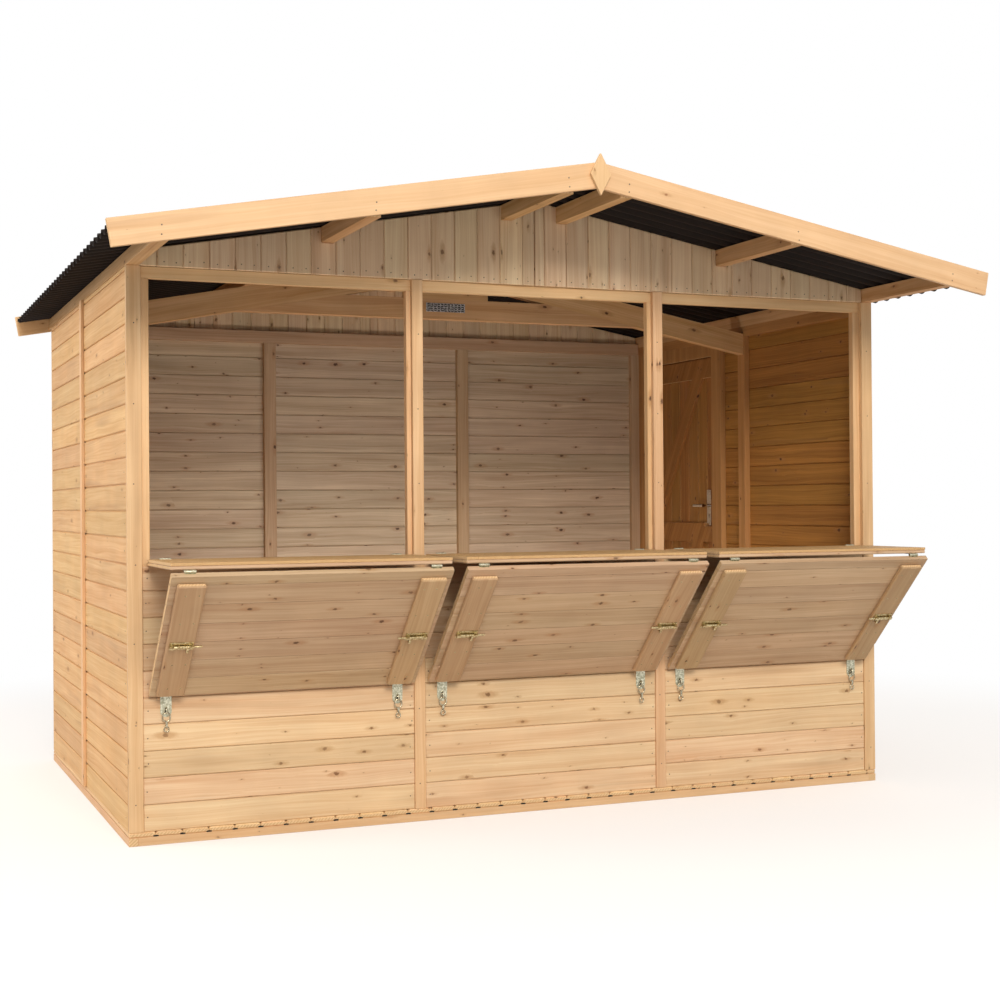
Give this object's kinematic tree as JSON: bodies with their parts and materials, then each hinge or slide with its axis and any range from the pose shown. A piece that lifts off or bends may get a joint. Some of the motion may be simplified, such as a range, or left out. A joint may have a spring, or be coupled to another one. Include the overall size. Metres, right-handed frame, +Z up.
{
  "type": "wooden market stall",
  "caption": "Wooden market stall with a corrugated gable roof, open serving bays with fold-down counters and flaps at the front, and a plank door in the side wall.",
  "frame": {"origin": "on the ground under the middle of the walls", "axes": "+X along the counters to the right as seen from the front, +Y from the front to the back, +Z up"},
  "size_m": [3.304, 2.685, 2.3304],
  "materials": {
    "dark_bitumen_sheet": "matte, fibrous",
    "chromed_handle": "polished",
    "yellow_zinc_steel": "yellow passivated zinc",
    "bright_zinc_steel": "bright zinc",
    "strand_board": "raw pressed strands",
    "shutter_spruce": "planed, unfinished",
    "door_spruce": "planed, unfinished",
    "floor_spruce": "planed, unfinished",
    "planed_frame_spruce": "planed, unfinished",
    "roof_timber_spruce": "sawn, unfinished",
    "bargeboard_spruce": "planed, unfinished",
    "cladding_spruce": "planed, unfinished"
  },
  "bodies": {
    "stall": {"counter_hinges": "bright_zinc_steel", "door_frame": "door_spruce", "finials": "bargeboard_spruce", "floor_bearers": "floor_spruce", "floor_boards": "floor_spruce", "front_aprons": "cladding_spruce", "front_bargeboards": "bargeboard_spruce", "front_gable": "cladding_spruce", "front_header": "planed_frame_spruce", "front_posts": "planed_frame_spruce", "front_sill_rails": "planed_frame_spruce", "front_trims": "planed_frame_spruce", "left_wall": "cladding_spruce", "rear_bargeboards": "bargeboard_spruce", "rear_gable": "cladding_spruce", "rear_rail": "planed_frame_spruce", "rear_studs": "planed_frame_spruce", "rear_trims": "planed_frame_spruce", "rear_wall": "cladding_spruce", "ridge_cap": "dark_bitumen_sheet", "right_wall": "cladding_spruce", "right_wall_over_door": "cladding_spruce", "roof_purlins": "roof_timber_spruce", "roof_sheet_left": "dark_bitumen_sheet", "roof_sheet_right": "dark_bitumen_sheet", "side_cover_strips": "planed_frame_spruce", "side_studs": "planed_frame_spruce", "side_top_plates": "planed_frame_spruce", "truss_king_board": "roof_timber_spruce", "truss_rafters": "roof_timber_spruce", "truss_tie": "roof_timber_spruce", "wall_hasps": "bright_zinc_steel"},
    "counter_left": {"counter_left_boards": "shutter_spruce", "counter_left_top": "strand_board", "counter_left_leaves": "bright_zinc_steel"},
    "flap_left": {"flap_left": "shutter_spruce", "flap_left_ironwork": "yellow_zinc_steel"},
    "counter_middle": {"counter_middle_boards": "shutter_spruce", "counter_middle_top": "strand_board", "counter_middle_leaves": "bright_zinc_steel"},
    "flap_middle": {"flap_middle": "shutter_spruce", "flap_middle_ironwork": "yellow_zinc_steel"},
    "counter_right": {"counter_right_boards": "shutter_spruce", "counter_right_top": "strand_board", "counter_right_leaves": "bright_zinc_steel"},
    "flap_right": {"flap_right": "shutter_spruce", "flap_right_ironwork": "yellow_zinc_steel"},
    "door": {"door_leaf": "door_spruce", "door_ledges": "door_spruce", "door_handle_plates": "chromed_handle", "door_hinges": "bright_zinc_steel"},
    "lever": {"door_lever": "chromed_handle"}
  },
  "joints": [
    {"name": "counter_left_hinge", "type": "hinge", "parent": "stall", "child": "counter_left", "pos_m": [0, -0.996, 0.961], "axis": [-1, 0, 0], "range_deg": [0, 90]},
    {"name": "flap_left_hinge", "type": "hinge", "parent": "counter_left", "child": "flap_left", "pos_m": [0, -1.409, 0.934], "axis": [-1, 0, 0], "range_deg": [0, 133.98]},
    {"name": "counter_middle_hinge", "type": "hinge", "parent": "stall", "child": "counter_middle", "pos_m": [0, -0.996, 0.961], "axis": [-1, 0, 0], "range_deg": [0, 90]},
    {"name": "flap_middle_hinge", "type": "hinge", "parent": "counter_middle", "child": "flap_middle", "pos_m": [0, -1.409, 0.934], "axis": [-1, 0, 0], "range_deg": [0, 133.98]},
    {"name": "counter_right_hinge", "type": "hinge", "parent": "stall", "child": "counter_right", "pos_m": [0, -0.996, 0.961], "axis": [-1, 0, 0], "range_deg": [0, 90]},
    {"name": "flap_right_hinge", "type": "hinge", "parent": "counter_right", "child": "flap_right", "pos_m": [0, -1.409, 0.934], "axis": [-1, 0, 0], "range_deg": [0, 133.98]},
    {"name": "door_hinge", "type": "hinge", "parent": "stall", "child": "door", "pos_m": [1.511, 0.877, 0.95], "axis": [0, 0, 1], "range_deg": [0, 100]},
    {"name": "door_lever_turn", "type": "hinge", "parent": "door", "child": "lever", "pos_m": [1.497, 0.283, 1.126], "axis": [-1, 0, 0], "range_deg": [0, 40]}
  ]
}
